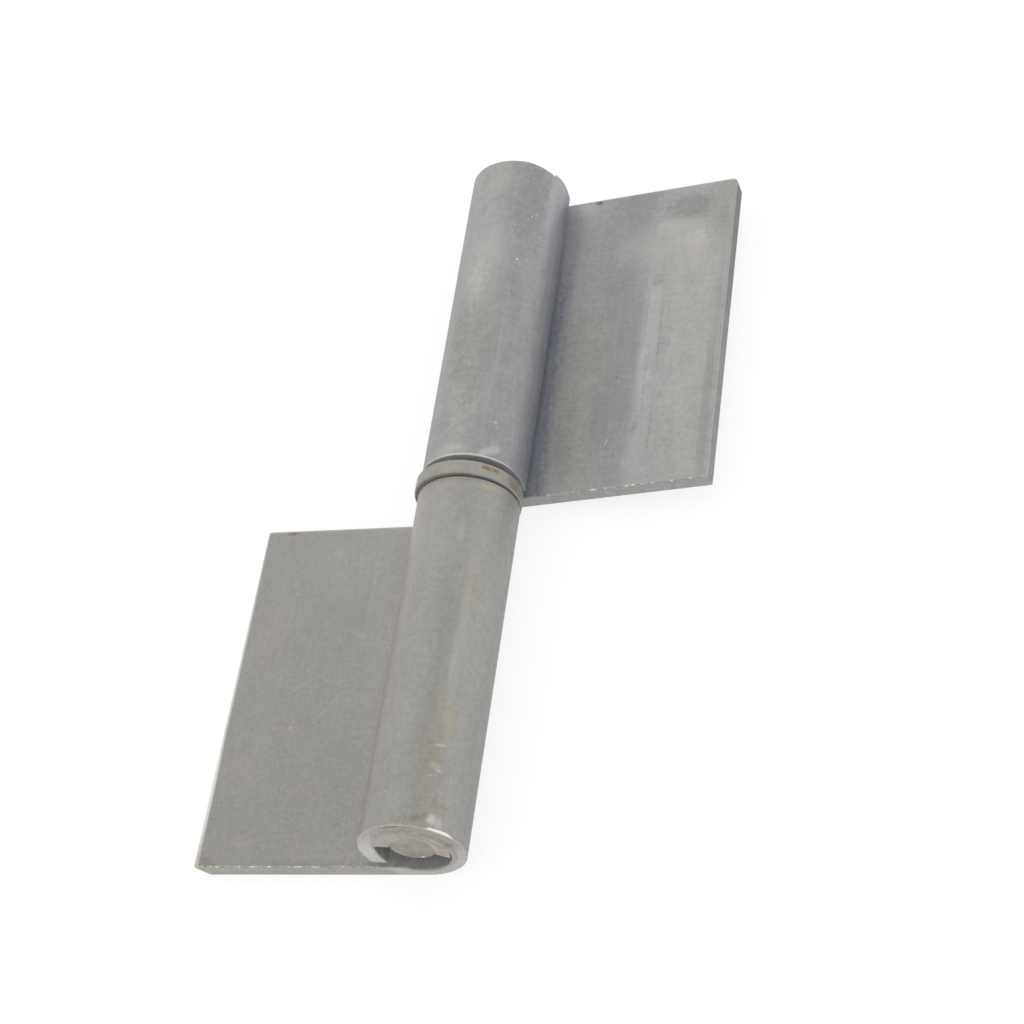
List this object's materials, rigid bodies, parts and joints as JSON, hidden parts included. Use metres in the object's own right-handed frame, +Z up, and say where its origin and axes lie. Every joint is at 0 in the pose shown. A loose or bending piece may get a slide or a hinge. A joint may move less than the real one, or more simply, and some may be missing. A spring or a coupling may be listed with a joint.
{
  "type": "weld-on hinge",
  "caption": "Lift-off hinge for welding to a frame and a gate: flag leaves of sheet steel with rolled knuckles, a fixed pin and a loose bearing ring.",
  "frame": {"origin": "on the table, below the pin's axis, half way between the two knuckles", "axes": "+Y along the pin towards the upper leaf, +Z up from the table, away from the leaves' backs, +X towards the upper leaf's free edge"},
  "size_m": [0.0737, 0.1218, 0.0168],
  "materials": {
    "lower_leaf_steel": "bare mill steel, satin, warm grey",
    "upper_leaf_steel": "bare mill steel, satin, cool grey with pale scale",
    "pin_steel": "sawn and tumbled rod",
    "weld_steel": "weld metal dressed flush, straw and brown heat tint",
    "ring_steel": "turned steel with spots of rust"
  },
  "bodies": {
    "lower": {"lower_leaf": "lower_leaf_steel", "pin": "pin_steel", "pin_weld": "weld_steel"},
    "ring": {"bearing_ring": "ring_steel"},
    "upper": {"upper_leaf": "upper_leaf_steel"}
  },
  "joints": [
    {"name": "swing", "type": "hinge", "parent": "lower", "child": "ring", "pos_m": [0, 0, 0.008], "axis": [0, -1, 0], "continuous": true},
    {"name": "lift_off", "type": "slide", "parent": "ring", "child": "upper", "axis": [0, 1, 0], "range_m": [-0.0013, 0.053]}
  ]
}
